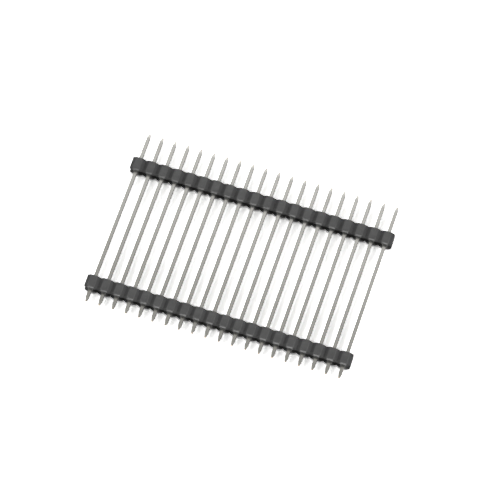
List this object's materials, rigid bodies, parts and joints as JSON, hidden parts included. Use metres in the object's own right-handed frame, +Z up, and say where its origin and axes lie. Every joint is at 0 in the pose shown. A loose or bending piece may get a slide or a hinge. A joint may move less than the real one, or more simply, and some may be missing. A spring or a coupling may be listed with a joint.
{
  "type": "pin header strip",
  "caption": "Single-row board-stacking pin header strip: square plated pins held parallel by two moulded snap-apart insulator bars.",
  "frame": {"origin": "on the bench surface, under the middle of the whole strip", "axes": "+X along the row of pins, +Y along the pins towards their mating ends, +Z up from the bench that the strip lies on"},
  "size_m": [0.0508, 0.0358, 0.0025],
  "materials": {
    "insulator": "black glass-filled moulding, slightly satin",
    "pin": "dull pale tin plating over brass"
  },
  "bodies": {
    "root": {"lower_insulator": "insulator", "upper_insulator": "insulator", "pin_01": "pin", "pin_02": "pin", "pin_03": "pin", "pin_04": "pin", "pin_05": "pin", "pin_06": "pin", "pin_07": "pin", "pin_08": "pin", "pin_09": "pin", "pin_10": "pin", "pin_11": "pin", "pin_12": "pin", "pin_13": "pin", "pin_14": "pin", "pin_15": "pin", "pin_16": "pin", "pin_17": "pin", "pin_18": "pin", "pin_19": "pin", "pin_20": "pin"}
  },
  "joints": []
}
